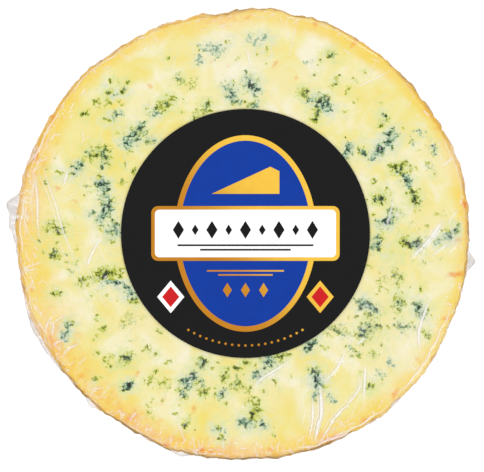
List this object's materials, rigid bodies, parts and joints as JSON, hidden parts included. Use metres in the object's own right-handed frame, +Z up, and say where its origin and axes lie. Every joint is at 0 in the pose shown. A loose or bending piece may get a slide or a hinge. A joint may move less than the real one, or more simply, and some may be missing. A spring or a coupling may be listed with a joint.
{
  "type": "round of blue stilton cheese",
  "caption": "Flat round slice of blue-veined drum cheese in clear shrink film, with a natural rind, a welded film seam with two ears, and a round paper label on the cut face.",
  "frame": {"origin": "middle of the flat face that the round rests on", "axes": "+Z is up, out of the labelled cut face; +Y is the top of the label and +X its right"},
  "size_m": [0.2112, 0.2035, 0.0687],
  "materials": {
    "cheese": "creamy pale yellow paste with blue-green veins, under clear film",
    "film": "thin clear glossy shrink film with creases",
    "label_paper": "satin coated black paper with gold, blue and white print"
  },
  "bodies": {
    "root": {"wrapped_cheese": "cheese", "label": "label_paper"}
  },
  "joints": []
}
